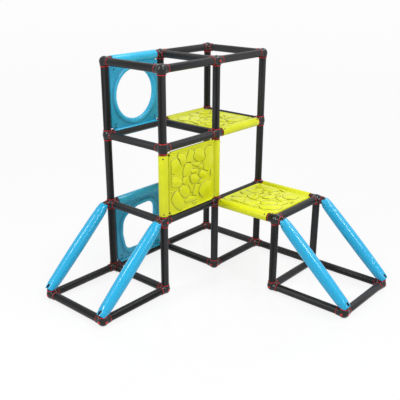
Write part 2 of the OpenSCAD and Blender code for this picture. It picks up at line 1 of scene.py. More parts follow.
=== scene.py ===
# %% [markdown]
# # A toddler climbing gym
#
# The gym is a frame of black plastic tubes. Lime panels with a pebble relief make two platforms and a
# climbing wall, two blue panels have a hole to crawl through, and soft blue pads cover the sloping rails
# of two ramps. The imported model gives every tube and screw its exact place. This script keeps that frame
# and makes the surfaces that a plain solid can't show: rounded mouldings, stones, beads and stuffed pads.

import bmesh
import bpy
import numpy as np
from mathutils import Matrix


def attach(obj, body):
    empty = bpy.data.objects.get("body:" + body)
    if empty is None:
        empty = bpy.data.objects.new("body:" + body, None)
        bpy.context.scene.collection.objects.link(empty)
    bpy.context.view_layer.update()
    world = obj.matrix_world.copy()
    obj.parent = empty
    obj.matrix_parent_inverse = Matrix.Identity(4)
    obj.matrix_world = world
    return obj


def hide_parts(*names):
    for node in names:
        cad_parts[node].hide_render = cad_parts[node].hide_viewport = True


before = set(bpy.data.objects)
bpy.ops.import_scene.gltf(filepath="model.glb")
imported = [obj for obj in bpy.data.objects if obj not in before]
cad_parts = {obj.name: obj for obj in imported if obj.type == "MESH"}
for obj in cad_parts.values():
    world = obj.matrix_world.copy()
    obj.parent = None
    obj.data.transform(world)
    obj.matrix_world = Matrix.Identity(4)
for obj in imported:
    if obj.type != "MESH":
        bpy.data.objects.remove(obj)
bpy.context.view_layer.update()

# %% [markdown]
# ## Camera
#
# The picture is taken from the right front, a little above the gym, with a normal lens. The camera could
# be aimed with a constraint, but a matrix of its three axes says the same in one line and stays fixed.
# The picture is square, so a focal length of 633 of its 400 pixels is a lens of 57 mm.

# %% Camera
SENSOR_MM, FOCAL_PX, PICTURE_PX = 36, 632.6, 400
CAMERA_PLACE = [2.0434, -2.5285, 1.7803]
turn, rise, roll = np.radians([40.929, 20.410, 0.208])
back = np.array([np.sin(turn) * np.cos(rise), -np.cos(turn) * np.cos(rise), np.sin(rise)])
level = np.array([np.cos(turn), np.sin(turn), 0])
upward = np.cross(back, level)
right = np.cos(roll) * level + np.sin(roll) * upward
above = np.cos(roll) * upward - np.sin(roll) * level

lens = bpy.data.cameras.new("photo_lens")
lens.sensor_width = SENSOR_MM
lens.lens = SENSOR_MM * FOCAL_PX / PICTURE_PX
camera = bpy.data.objects.new("photo_camera", lens)
placed = np.eye(4)
placed[:3, :3] = np.stack([right, above, back], 1)
placed[:3, 3] = CAMERA_PLACE
camera.matrix_world = Matrix(placed.tolist())
bpy.context.scene.collection.objects.link(camera)
bpy.context.scene.camera = camera
print("lens:", round(lens.lens, 2), "mm")

# %% [markdown]
# ## Helpers for shapes
#
# Nearly every piece here is a grid of points: a profile carried round an axis or along a path. One
# function numbers the faces of such a grid, and another puts points and faces into a mesh, welds seams
# and poles and turns the faces outwards. All sizes are in millimetres until a mesh is made.

# %% Grids and meshes
WELD = 2e-6  # metres


def grid_faces(rows, cols, ring_rows=False, ring_cols=False):
    """Four point numbers for every cell of a grid that is numbered row by row; a ring joins its ends."""
    r, c = np.meshgrid(np.arange(rows - (not ring_rows)), np.arange(cols - (not ring_cols)), indexing="ij")
    r2, c2 = (r + 1) % rows, (c + 1) % cols
    return np.stack([r * cols + c, r * cols + c2, r2 * cols + c2, r2 * cols + c], -1).reshape(-1, 4)


def joined(shapes):
    """Several (points, faces) pairs as one pair, each shape's faces counted on from the shape before."""
    starts = np.cumsum([0] + [len(points) for points, _ in shapes[:-1]])
    return (np.concatenate([points for points, _ in shapes]),
            np.concatenate([faces + start for (_, faces), start in zip(shapes, starts)]))


def moulded_piece(name, points, faces, finish, slot, stands_for, **marks):
    """A mesh object from points in millimetres, welded, facing outwards, riding on the frame.

    Each mark is one number per point, kept as an attribute of that name for the material to read.
    """
    mesh = bpy.data.meshes.new(name)
    mesh.from_pydata((points / 1000).tolist(), [], faces.tolist())
    for mark, values in marks.items():
        mesh.attributes.new(mark, "FLOAT", "POINT").data.foreach_set("value", values.astype(np.float32))
    work = bmesh.new()
    work.from_mesh(mesh)
    bmesh.ops.remove_doubles(work, verts=work.verts, dist=WELD)
    bmesh.ops.recalc_face_normals(work, faces=work.faces)
    work.to_mesh(mesh)
    work.free()
    mesh.polygons.foreach_set("use_smooth", np.ones(len(mesh.polygons), bool))
    made = bpy.data.objects.new(name, mesh)
    bpy.context.scene.collection.objects.link(made)
    mesh.materials.append(finish)
    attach(made, "root")
    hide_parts(*stands_for)
    print(f"{name}: {len(mesh.vertices)} points, {len(mesh.polygons)} faces")
    return made


# %% Turned rings and soft steps
def turned(profile, start, way, steps):
    """A closed profile of (radius, height) rows, one for all or one per step, carried once round an axis."""
    way = np.asarray(way, float)
    side = np.array([0, 0, 1.0]) if abs(way[2]) < 0.9 else np.array([1.0, 0, 0])
    side = np.cross(way, side) / np.linalg.norm(np.cross(way, side))
    other = np.cross(way, side)
    angle = np.linspace(0, 2 * np.pi, steps, endpoint=False)[:, None, None]
    profile = np.broadcast_to(profile, (steps, *profile.shape[-2:]))
    ray = np.cos(angle) * side + np.sin(angle) * other
    points = start + profile[..., 1:] * way + profile[..., :1] * ray
    return points.reshape(-1, 3), grid_faces(*profile.shape[:2], True, True)


def rounded_band(inner, outer, low, high, corner, steps=5):
    """Section of a ring as (radius, height) rows: a rectangle with round corners."""
    bend = np.linspace(0, np.pi / 2, steps)
    middles = [(outer - corner, high - corner), (inner + corner, high - corner),
               (inner + corner, low + corner), (outer - corner, low + corner)]
    return np.concatenate([
        np.stack([r + corner * np.cos(bend + k * np.pi / 2), h + corner * np.sin(bend + k * np.pi / 2)], 1)
        for k, (r, h) in enumerate(middles)])


def smooth(value, low, high):
    """Soft step: 0 below low, 1 above high and 3t^2 - 2t^3 in between."""
    t = np.clip((value - low) / (high - low), 0, 1)
    return t * t * (3 - 2 * t)


# %% [markdown]
# ## The grid of joints
#
# The joints lie on a square grid: 440 mm apart along the level rails, 470 mm along the ramps' floor rails
# and 418 mm up the posts. Rails are named by the joint at their low end, as in the part's own source, and
# everything else follows from that list: where sockets point, and where collars sit.

# %% Joints and rails
PITCH, RAMP_PITCH, STOREY = 440, 470, 418
JOINT_ORIGIN = np.array([-671, -209, 27])


def at(joint):
    """Place of a joint: its counts times the spacing, from the left post's foot; ramps are longer."""
    i, j, k = joint
    longer = np.array([max(i - 2, 0), min(j, 0), 0]) * (RAMP_PITCH - PITCH)
    return np.array([i * PITCH, j * PITCH, k * STOREY]) + longer + JOINT_ORIGIN


X_RAILS = {(0, -1, 0), (0, 0, 0), (0, 1, 0), (0, 2, 0), (1, 2, 0), (2, 1, 0), (2, 2, 0),
           (0, 0, 1), (1, 1, 1), (1, 2, 1), (0, 0, 2), (0, 1, 2), (0, 2, 2), (0, 0, 3), (0, 1, 3), (0, 2, 3)}
Y_RAILS = {(0, -1, 0), (1, -1, 0), (0, 0, 0), (0, 1, 0), (1, 1, 0), (2, 1, 0), (3, 1, 0),
           (0, 0, 1), (0, 1, 1), (1, 0, 1), (1, 1, 1), (2, 1, 1),
           (0, 0, 2), (0, 1, 2), (1, 0, 2), (1, 1, 2), (0, 0, 3), (0, 1, 3), (1, 0, 3), (1, 1, 3)}
TOWER = [(0, 0), (1, 0), (0, 1), (1, 1), (0, 2), (1, 2)]
DECK = [(2, 1), (2, 2)]
POST_TUBES = {(*c, k) for c in TOWER for k in range(3)} | {(*c, 0) for c in DECK}
RAMPS = {"left_back": ((0, 0, 1), (0, -1, 0)), "left_front": ((1, 0, 1), (0, -1, 0)),
         "right_front": ((2, 1, 1), (1, 0, 0)), "right_back": ((2, 2, 1), (1, 0, 0))}
RAMP_FEET = [tuple(np.add(top, way) - [0, 0, 1]) for top, way in RAMPS.values()]
print("rails:", len(X_RAILS) + len(Y_RAILS), "post tubes:", len(POST_TUBES), "ramp rails:", len(RAMPS))


# %% Sockets of each connector
def socket_ways(joint):
    """The ways in which a joint has a socket: along each rail, post tube or ramp that meets there."""
    ways = []
    for axis, tubes in enumerate([X_RAILS, Y_RAILS, POST_TUBES]):
        step = tuple(int(axis == k) for k in range(3))
        if joint in tubes:
            ways.append(step)
        if tuple(np.subtract(joint, step)) in tubes:
            ways.append(tuple(-s for s in step))
    if joint in RAMP_FEET:
        ways.append((0, 0, 1))
    return ways + [way for top, way in RAMPS.values() if top == joint]


CONNECTORS = {
    "tower_feet": [(*c, 0) for c in TOWER], "deck_feet": [(*c, 0) for c in DECK], "ramp_feet": RAMP_FEET,
    "level1_connectors": [(*c, 1) for c in TOWER], "deck_connectors": [(*c, 1) for c in DECK],
    "level2_connectors": [(*c, 2) for c in TOWER], "top_connectors": [(*c, 3) for c in TOWER],
}
print("sockets:", sum(len(socket_ways(j)) for group in CONNECTORS.values() for j in group))

# %% [markdown]
# ## Floor and light
#
# The gym stands on a white, slightly glossy studio floor that shines almost as white as the background,
# so that only soft shadows show on it. A pale sky fills in, a wide soft sun from the far right rakes over
# the stones, two key boxes high above draw a streak along each pad, and two soft boxes beside the camera
# put the small highlights on the round mouldings. The levels add up to about one, so that a colour renders
# about as it is written.

# %% Node helper
def linear(code):
    """The linear red, green, blue and alpha of an sRGB hex code such as "2f2f31"."""
    s = np.array([int(code[k:k + 2], 16) for k in (0, 2, 4)]) / 255
    return (*np.where(s <= 0.04045, s / 12.92, ((s + 0.055) / 1.055) ** 2.4), 1.0)


def add(tree, kind, inputs=None, **settings):
    """Adds a node, sets its settings, and sets or links its inputs by name or number."""
    made = tree.nodes.new(kind)
    for key, value in settings.items():
        setattr(made, key, value)
    for key, value in (inputs or {}).items():
        if isinstance(value, bpy.types.NodeSocket):
            tree.links.new(value, made.inputs[key])
        else:
            made.inputs[key].default_value = value
    return made


def finish(name):
    """An empty node material of that name and its tree."""
    made = bpy.data.materials.new(name)
    made.use_nodes = True
    made.node_tree.nodes.clear()
    return made, made.node_tree


# %% Floor
def seen_directly(tree):
    """Output that is 1 for rays from the camera, a mirror or glass, and 0 for light on surfaces."""
    path = add(tree, "ShaderNodeLightPath")
    seen = path.outputs["Is Camera Ray"]
    for kind in ("Is Transmission Ray", "Is Glossy Ray"):
        seen = add(tree, "ShaderNodeMath", {0: seen, 1: path.outputs[kind]}, operation="MAXIMUM").outputs[0]
    return seen


# White lacquered floor: it glows where it is seen, keeps a share of the gym's shadow, and mirrors a little.
floor_paint, tree = finish("white_studio_floor")
paint = add(tree, "ShaderNodeBsdfPrincipled", {
    "Base Color": linear("dcdcde"), "Roughness": 0.15, "Specular IOR Level": 0.5})
white = add(tree, "ShaderNodeEmission", {"Color": (1, 1, 1, 1), "Strength": 1.0})
share = add(tree, "ShaderNodeMapRange", {"Value": seen_directly(tree), "To Min": 0.0, "To Max": 0.86})
mixed = add(tree, "ShaderNodeMixShader", {0: share.outputs[0], 1: paint.outputs[0], 2: white.outputs[0]})
add(tree, "ShaderNodeOutputMaterial", {"Surface": mixed.outputs[0]})

FLOOR_HALF, FLOOR_LINES = 60, 9
span = FLOOR_HALF * np.linspace(-1, 1, FLOOR_LINES)
gx, gy = np.meshgrid(span, span, indexing="ij")
floor_mesh = bpy.data.meshes.new("studio_floor")
floor_mesh.from_pydata(np.stack([gx, gy, 0 * gx], -1).reshape(-1, 3).tolist(), [],
                       grid_faces(FLOOR_LINES, FLOOR_LINES)[:, ::-1].tolist())
floor_mesh.materials.append(floor_paint)
floor = bpy.data.objects.new("studio_floor", floor_mesh)
bpy.context.scene.collection.objects.link(floor)
print("floor:", 2 * FLOOR_HALF, "m wide")

# %% Sky, sun and soft boxes
bpy.context.scene.view_settings.view_transform = "Standard"
sky = bpy.data.worlds.new("studio_sky")
bpy.context.scene.world = sky
sky.use_nodes = True
tree = sky.node_tree
tree.nodes.clear()
strength = add(tree, "ShaderNodeMapRange", {"Value": seen_directly(tree), "To Min": 0.30, "To Max": 1.0})
glow = add(tree, "ShaderNodeBackground", {"Color": (1, 1, 1, 1), "Strength": strength.outputs[0]})
add(tree, "ShaderNodeOutputWorld", {"Surface": glow.outputs[0]})


def lamp(name, kind, power, place, target, **settings):
    """A lamp at a place in metres that shines at a target, with its minus Z axis along the way there."""
    made = bpy.data.lights.new(name, kind)
    made.energy = power
    for key, value in settings.items():
        setattr(made, key, value)
    hung = bpy.data.objects.new(name, made)
    away = np.subtract(place, target) / np.linalg.norm(np.subtract(place, target))
    side = np.cross([0, 0, 1], away)
    side = side / np.linalg.norm(side)
    matrix = np.eye(4)
    matrix[:3, :3] = np.stack([side, np.cross(away, side), away], 1)
    matrix[:3, 3] = place
    hung.matrix_world = Matrix(matrix.tolist())
    bpy.context.scene.collection.objects.link(hung)


lamp("soft_sun", "SUN", 1.7, (1.3, 1.9, 4.6), (0, 0, 0), angle=np.radians(35))
lamp("right_key_box", "AREA", 46, (2.85, -0.2, 3.65), (0.4, 0.1, 0.4), size=0.8)
lamp("left_key_box", "AREA", 40, (-0.85, -2.7, 3.8), (-0.3, -0.3, 0.4), size=0.8)
lamp("left_soft_box", "AREA", 42, (-1.0, -3.4, 2.3), (0, 0, 0.7), size=0.7)
lamp("right_soft_box", "AREA", 20, (3.6, -0.1, 2.0), (0, 0, 0.7), size=0.5)

# %% [markdown]
# ## Plastics
#
# Nearly every hard piece is moulded or drawn plastic. Such plastic has one colour all through, a satin skin
# with a very fine orange peel, and small uneven patches where it cooled. Painted textures could show that,
# but noise at a real size in millimetres holds from every side. So one recipe makes them all: a colour that
# drifts a little, a roughness that drifts with it, and a shallow bump for the skin, a little coarser than
# the real one so that it shows. On the panels, a mark on the mesh also mixes in a dark colour as painted
# shade in creases and recesses. The small screws of blackened steel use it as well.

# %% Recipe for plastic
PATCH_LOW, PATCH_HIGH, GLOSS_DRIFT, PEEL_STRENGTH = 0.38, 0.62, 0.05, 0.6


def plastic(name, colour, drift, rough, sheen_level, patch_mm, peel_mm, peel_depth_mm,
            crease=None, drawn=(1, 1, 1)):
    """Moulded plastic: two close colours in patches, satin gloss, a fine orange peel, and painted shade from
    a mark.

    Drawn is the patches' scale along each axis: a tube drawn through a die has patches as long lines.
    """
    made, tree = finish(name)
    where = add(tree, "ShaderNodeTexCoord").outputs["Object"]
    lines = add(tree, "ShaderNodeMapping", {"Vector": where, "Scale": drawn})
    patches = add(tree, "ShaderNodeTexNoise", {
        "Vector": lines.outputs[0], "Scale": 1000 / patch_mm, "Detail": 3.0})
    peel = add(tree, "ShaderNodeTexNoise", {"Vector": where, "Scale": 1000 / peel_mm, "Detail": 2.0})
    uneven = add(tree, "ShaderNodeMapRange", {
        "Value": patches.outputs["Fac"], "From Min": PATCH_LOW, "From Max": PATCH_HIGH})
    tint = add(tree, "ShaderNodeMix", {"Factor": uneven.outputs[0], 6: linear(colour), 7: linear(drift)},
               data_type="RGBA")
    colour_out = tint.outputs[2]
    # Painted shade: a dark colour mixed in where the mesh's mark says shade falls, in creases and recesses.
    if crease:
        shade_amount = add(tree, "ShaderNodeAttribute", attribute_name="crease")
        darker = {"Factor": shade_amount.outputs["Fac"], 6: colour_out, 7: linear(crease)}
        colour_out = add(tree, "ShaderNodeMix", darker, data_type="RGBA").outputs[2]
    gloss = add(tree, "ShaderNodeMapRange", {
        "Value": uneven.outputs[0], "To Min": rough - GLOSS_DRIFT, "To Max": rough + GLOSS_DRIFT})
    skin = add(tree, "ShaderNodeBump", {
        "Height": peel.outputs["Fac"], "Strength": PEEL_STRENGTH, "Distance": peel_depth_mm / 1000})
    body = add(tree, "ShaderNodeBsdfPrincipled", {
        "Base Color": colour_out, "Roughness": gloss.outputs[0], "Normal": skin.outputs[0],
        "IOR": 1.49, "Specular IOR Level": sheen_level})
    add(tree, "ShaderNodeOutputMaterial", {"Surface": body.outputs[0]})
    return made


# %% Finishes of the hard pieces
# Polyethylene tube, drawn through a die: satin black, with faint long lines along each tube's own axis.
tube_x, tube_y, tube_z = [
    plastic("black_drawn_pe_tube_" + axis, "0a0a0b", "323234", 0.36, 0.20, 16, 1.6, 0.02,
            drawn=tuple(np.where(np.arange(3) == k, 0.02, 1)))
    for k, axis in enumerate("xyz")]
# ABS from a polished mould: wet black with small sharp highlights.
black_moulding = plastic("black_gloss_moulded_abs", "0e0e0f", "131314", 0.16, 0.42, 30, 1.4, 0.01)
# Polypropylene: a full red with a soft, broad sheen.
red_plastic = plastic("red_moulded_pp", "d8222a", "c81e26", 0.36, 0.40, 20, 1.2, 0.03)
# Polyethylene from a blow mould: waxy and satin, with wide cloudy patches; its dark crease colour is painted
# shade.
lime_plastic = plastic("lime_moulded_hdpe", "dce015", "d4d910", 0.36, 0.40, 90, 2.5, 0.06, crease="343805")
# The blue likewise, with a darker blue as painted shade at the bead's foot and over the flat plate.
blue_plastic = plastic("blue_moulded_hdpe", "34bfe8", "2eb5df", 0.28, 0.45, 90, 2.5, 0.03, crease="125f82")
# Blackened steel: dull, dark grey and a little mottled.
dark_metal = plastic("blackened_steel_screw", "2a2a2d", "323236", 0.40, 0.6, 6, 0.8, 0.02)

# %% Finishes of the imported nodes
FINISH_BY_WORD = {"x": tube_x, "y": tube_y, "post": tube_z, "brace": tube_z, "collars": red_plastic,
                  "plugs": red_plastic, "platform": lime_plastic, "wall": lime_plastic, "panel": blue_plastic,
                  "screws": dark_metal, "studs": dark_metal}
for name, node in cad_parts.items():
    words = name.split("_")
    node.data.materials.clear()
    fitting = [made for word, made in FINISH_BY_WORD.items() if word in words]
    node.data.materials.append(fitting[-1] if fitting else black_moulding)
print("finishes:", sorted({n.data.materials[0].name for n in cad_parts.values()}))

# %% [markdown]
# ## Connectors
#
# A connector is one moulding: a ball with a short socket for every tube. Cylinders and a sphere could be
# joined by a boolean, but that leaves sharp seams. Here the skin is a distance from the middle along each
# ray, and a power sum of the ball's and the sockets' distances joins them with soft fillets.

# %% Connector mouldings
BALL, SOCKET, LEVEL_REACH, UPRIGHT_REACH, FLOOR_BELOW = 28, 25, 37, 26, 27
FILLET = 14
SIX_WAYS = np.array([[1, 0, 0], [-1, 0, 0], [0, 1, 0], [0, -1, 0], [0, 0, 1], [0, 0, -1]], float)


def rays_on_cube(rings=18, spokes=32):
    """Unit rays in rings round the six axes; the last rings bend from a circle to a square."""
    share = np.linspace(0, 1, rings)[:, None]
    spoke = np.linspace(0, 2 * np.pi, spokes, endpoint=False)[None]
    square = 1 / np.maximum(abs(np.cos(spoke)), abs(np.sin(spoke)))
    radius = share * (1 + np.clip((share - 0.8) / 0.2, 0, 1) ** 2 * (square - 1))
    flat = np.stack([radius * np.cos(spoke), radius * np.sin(spoke)], -1)
    first = np.roll(SIX_WAYS, 1, axis=1)
    second = np.cross(SIX_WAYS, first)
    rays = (SIX_WAYS[:, None, None] + flat[None, ..., :1] * first[:, None, None]
            + flat[None, ..., 1:] * second[:, None, None])
    return rays / np.linalg.norm(rays, axis=-1, keepdims=True)


def connector(joint):
    """Ball and sockets as one skin: r = (ball^n + sum of socket^n)^(1/n), flat where it meets the floor.

    A socket along w reaches ((c / length)^n + (s / radius)^n)^(-1/n), where c and s are the ray's parts
    along and across w, so that its mouth has a round rim. A higher power n gives smaller fillets.
    """
    rays = rays_on_cube()
    total = np.full(rays.shape[:-1], float(BALL) ** FILLET)
    for way in socket_ways(joint):
        along = rays @ np.array(way, float)
        across = np.sqrt(np.clip(1 - along ** 2, 0, 1))
        length = UPRIGHT_REACH if way[2] else LEVEL_REACH
        reach = (np.clip(along, 1e-9, 1) / length) ** FILLET + (across / SOCKET) ** FILLET
        reach = reach ** (-1 / FILLET)
        total += np.where(along > 0, reach ** FILLET, 0)
    radius = total ** (1 / FILLET)
    if joint[2] == 0:
        radius = np.minimum(radius, FLOOR_BELOW / np.clip(-rays[..., 2], 1e-6, 1))
    points = at(joint) + radius[..., None] * rays
    faces = grid_faces(*points.shape[1:3], ring_cols=True)
    return joined([(face.reshape(-1, 3), faces) for face in points])


for node, joints in CONNECTORS.items():
    skins = joined([connector(j) for j in joints])
    moulded_piece(node + "_skin", *skins, black_moulding, "black_moulding", [node])

# %% [markdown]
# ## Collars
#
# A red ring sits at every socket mouth. It is only 5 mm wide and looks broken up into short dashes, as a
# ring with teeth does. The teeth could be modelled one by one. It is simpler to turn one rounded section
# round the tube and let its width and height go up and down on the way.

# %% Red collars
COLLAR_GROUPS = {"floor_collars": ["tower_feet", "deck_feet", "ramp_feet"],
                 "level1_collars": ["level1_connectors", "deck_connectors"],
                 "level2_collars": ["level2_connectors"], "top_collars": ["top_connectors"]}
COLLAR_REACH = np.array([0, 0.8, 0.95, 1, 1, 0.95, 0.8, 0])
COLLAR_SHARES = np.array([0, 0, 0.08, 0.2, 0.8, 0.92, 1, 1])
TEETH, COLLAR_STEPS, LEAST_ON_POST = 14, 112, 0.55
COLLAR_BORE, COLLAR_GAP = 22.2, 0.05
LOW_RISE, TOOTH_RISE, LOW_WIDTH, TOOTH_WIDTH = 0.4, 2.1, 1, 3.6


def collar(joint, way):
    """A ring from the mouth of a socket outwards, 1 mm wide and 0.6 mm proud of the tube between its teeth.

    At a tooth it is 4.6 mm wide and 2.7 mm proud. Tooth(angle) = soft step of cos(14 angle), and no less
    than 0.55 on a post, where the ring looks almost whole.
    """
    mouth, least = (UPRIGHT_REACH, LEAST_ON_POST) if way[2] else (LEVEL_REACH, 0)
    angle = np.linspace(0, 2 * np.pi, COLLAR_STEPS, endpoint=False)[:, None]
    tooth = np.maximum(smooth(np.cos(TEETH * angle), -0.1, 0.5), least)
    radius = COLLAR_BORE + COLLAR_REACH * (LOW_RISE + TOOTH_RISE * tooth)
    height = mouth + COLLAR_GAP + COLLAR_SHARES * (LOW_WIDTH + TOOTH_WIDTH * tooth)
    band = np.stack([radius, height], -1)
    return turned(band, at(joint), way, COLLAR_STEPS)


for node, groups in COLLAR_GROUPS.items():
    rings = [collar(j, w) for g in groups for j in CONNECTORS[g] for w in socket_ways(j)]
    moulded_piece(node + "_rings", *joined(rings), red_plastic, "red_plastic", [node])

# %% [markdown]
# ## Pebble panels
#
# Three lime panels share one design: a plate with rounded stones for small feet to hold on to, a low rim
# round them, and a sleeve along two sides that goes round a tube. The platforms' plates are 22 mm longer
# than the wall's. The stones could be sculpted. As a height over the plate they are one formula: each stone
# is a rounded slope round an ellipse, the highest stone wins, and a shallow furrow is cut where two stones
# meet. Painted shade darkens the furrows, the steep sides, the grooves and the drains.

# %% Relief of the stones
HALF_WALL, HALF_PLATFORM = 179.0, 190.0
SQUARENESS, SHOULDER, SHOULDER_HIGH, CROWN_HIGH, ROOF_SLOPE = 2.4, 5, 4.2, 3.2, 0.10
FURROW_DEEP, FURROW_WIDTH, LONG_WAVE, SHORT_WAVE = 3.4, 1.1, 2.5, 1.5
# Shares of painted shade on steep sides, in furrows and in the grooves by the sleeves.
STEEP_SHADE, FURROW_SHADE, GROOVE_SHADE, GRID_STEP = 0.75, 0.95, 0.3, 1.6
FIELD_HALF, FIELD_INSET, FIELD_CORNER, RIM_HIGH = 182, 10, 26, 4
GROOVE_START, GROOVE_END, GROOVE_DEEP = 187, 191.5, 7
DRAIN_ACROSS, DRAIN_INSET, DRAIN_DEEP = 186.5, 12, 12
STONES = np.array([
    # across, along, half length, half width, turn in degrees
    [-146, 97, 50, 43, 35], [-91, 126, 44, 33, -35], [-138, 3, 52, 34, -12], [-122, -108, 62, 42, -55],
    [-68, -66, 54, 33, -42], [-47, 58, 44, 33, 60], [-20, 123, 42, 32, 65], [57, 120, 56, 38, -28],
    [34, 71, 38, 15, -14], [134, 84, 76, 46, 80], [66, 50, 26, 18, -30], [13, 36, 32, 15, -8],
    [15, -11, 38, 31, -20], [88, -1, 36, 25, -10], [165, -9, 24, 13, 70], [112, -96, 58, 47, 25],
    [31, -82, 38, 27, 70], [-20, -126, 54, 21, -4], [-17, -62, 34, 16, -60], [-62, 0, 28, 24, 40],
    [-177, -46, 14, 12, 0], [66, -42, 22, 13, 0], [-176, 40, 22, 10, 80], [20, -150, 30, 9, 0],
])
print("stones on a plate:", len(STONES))


def pebble_relief(x, y, half_plate):
    """Height over the plate, and how much painted shade a point gets, from 0 to 1.

    Height = highest stone less a furrow where two stones are equally high; a rim outside a rounded
    rectangle; a groove by each sleeve; and a drain in each corner. A longer plate has longer stones.
    The painted shade is full in the drains and partial on steep sides, in furrows and in the grooves.
    """
    spread = y * HALF_WALL / half_plate
    wavy_x = x + LONG_WAVE * np.sin(spread / 17 + 1) + SHORT_WAVE * np.sin(spread / 8.3)
    wavy_y = spread + LONG_WAVE * np.sin(x / 19) + SHORT_WAVE * np.sin(x / 7.7 + 2)
    dx, dy = wavy_x[..., None] - STONES[:, 0], wavy_y[..., None] - STONES[:, 1]
    turn = np.radians(STONES[:, 4])
    along, across = dx * np.cos(turn) + dy * np.sin(turn), dy * np.cos(turn) - dx * np.sin(turn)
    out = (abs(along) / STONES[:, 2]) ** SQUARENESS + (abs(across) / STONES[:, 3]) ** SQUARENESS
    out = out ** (1 / SQUARENESS)
    narrow = np.minimum(STONES[:, 2], STONES[:, 3])
    inside = np.clip((1 - out) * narrow / SHOULDER, 0, 1)
    roof = ROOF_SLOPE * (narrow - np.sqrt(across ** 2 + 9))
    stone = SHOULDER_HIGH * (1 - (1 - inside) ** 2) + CROWN_HIGH * (1 - out ** 2) + roof
    ranked = np.sort(np.where(out < 1, stone, 0), -1)
    first, second = ranked[..., -1], ranked[..., -2]
    furrow = np.exp(-((first - second) / FURROW_WIDTH) ** 2) * smooth(second, 0.4, 1.6)
    qx = abs(x) - FIELD_HALF + FIELD_CORNER
    qy = abs(y) - half_plate + FIELD_INSET + FIELD_CORNER
    outside = np.hypot(np.clip(qx, 0, None), np.clip(qy, 0, None))
    frame_gap = outside + np.minimum(np.maximum(qx, qy), 0) - FIELD_CORNER
    field = smooth(-frame_gap, -1, 6)
    groove = smooth(abs(x), GROOVE_START, GROOVE_END)
    drain = 1 - smooth(np.hypot(abs(x) - DRAIN_ACROSS, abs(y) - half_plate + DRAIN_INSET), 4.4, 6.4)
    rim = RIM_HIGH * smooth(frame_gap, -2.5, 2.5)
    height = np.maximum((first - FURROW_DEEP * furrow) * field, rim)
    height = height - GROOVE_DEEP * groove - DRAIN_DEEP * drain
    slope = np.hypot(np.gradient(height, axis=0), np.gradient(height, axis=1)) / GRID_STEP
    steep = smooth(slope, 0.55, 1.7)
    # Painted shade: darker colour on steep sides, in furrows and grooves, and full dark in the drains.
    crease = np.maximum.reduce([STEEP_SHADE * steep * field, FURROW_SHADE * furrow * field,
                                drain, GROOVE_SHADE * groove])
    return height, np.clip(crease, 0, 1)


# %% Panels with sleeves
PLATE_LOW, PLATE_MIDDLE, PLATE_TOP, PLATE_SIDE, PLATE_ROUND = 2.0, 8.0, 14.0, 196.5, 5
TONGUE, TONGUE_RUN = 5.0, 30
SLEEVE_BORE, SLEEVE_OUT, HALF_SLEEVE = 22.3, 26.3, 173
SLEEVE = rounded_band(SLEEVE_BORE, SLEEVE_OUT, -HALF_SLEEVE, HALF_SLEEVE, 1.8)


def pebble_panel(half_plate):
    """Plate and two sleeves. The plate's section runs over the stones, round the edge and back underneath.

    Between its notched corners each end is drawn out into a tongue that nearly meets the cross tube.
    """
    xs = np.linspace(-PLATE_SIDE, PLATE_SIDE, 247)
    ends = half_plate - PLATE_ROUND * (1 - np.cos(np.linspace(0, np.pi / 2, 6)))
    ys = np.concatenate([-ends, np.linspace(6.5 - half_plate, half_plate - 6.5, 216), ends[::-1]])
    low_ys = np.concatenate([-ends, np.linspace(-150, 150, 9), ends[::-1]])[::-1]

    def rounded(height, y):
        """Height drawn to the middle of the plate's edge along a quarter circle of 5 mm."""
        inwards = np.clip((half_plate - abs(y)) / PLATE_ROUND, 0, 1)
        return PLATE_MIDDLE + (height - PLATE_MIDDLE) * np.sqrt(1 - (1 - inwards) ** 2)

    def drawn_out(x, y):
        """Place along the tubes with the tongue: the last 30 mm are stretched, but not at the corners."""
        reach = smooth(abs(y), half_plate - TONGUE_RUN, half_plate) * (1 - smooth(abs(x), 168, 174))
        return y + np.sign(y) * TONGUE * reach

    x, y = np.meshgrid(xs, ys, indexing="ij")
    relief, crease = pebble_relief(x, y, half_plate)
    over = np.stack([x, drawn_out(x, y), rounded(PLATE_TOP + relief, y)], -1)
    x, y = np.meshgrid(xs, low_ys, indexing="ij")
    shape = np.concatenate([over, np.stack([x, drawn_out(x, y), rounded(PLATE_LOW, y)], -1)], 1)
    cap = shape[[0, -1]] * [1, 1, 0] + [0, 0, PLATE_MIDDLE]
    shape = np.concatenate([cap[:1], shape, cap[1:]])
    sleeves = [turned(SLEEVE, np.array([side * PITCH / 2, 0, 0]), (0, 1, 0), 64) for side in (-1, 1)]
    plate = shape.reshape(-1, 3), grid_faces(*shape.shape[:2], ring_cols=True)
    points, faces = joined([plate, *sleeves])
    # The painted shade goes on the plate's top rows only; the underside and the sleeves get none.
    marks = np.pad(crease, ((1, 1), (0, len(low_ys)))).ravel()
    return points, faces, np.pad(marks, (0, len(points) - len(marks)))


# %% Two platforms and a climbing wall
def carried(points, axes, middle):
    """Points of a panel's own frame put into the gym's frame: the rows of axes are its X, Y and Z."""
    return points @ np.array(axes, float) + at(middle)


PEBBLE_PLACES = {
    "upper_platform": (HALF_PLATFORM, [[1, 0, 0], [0, 1, 0], [0, 0, 1]], (0.5, 1.5, 2)),
    "lower_platform": (HALF_PLATFORM, [[0, 1, 0], [-1, 0, 0], [0, 0, 1]], (1.5, 1.5, 1)),
    "climbing_wall": (HALF_WALL, [[0, 1, 0], [0, 0, 1], [1, 0, 0]], (1, 0.5, 1.5)),
}
for node, (half_plate, axes, middle) in PEBBLE_PLACES.items():
    points, faces, crease = pebble_panel(half_plate)
    moulded_piece(node + "_moulding", carried(points, axes, middle), faces, lime_plastic,
                  "lime_plastic", [node], crease=crease)

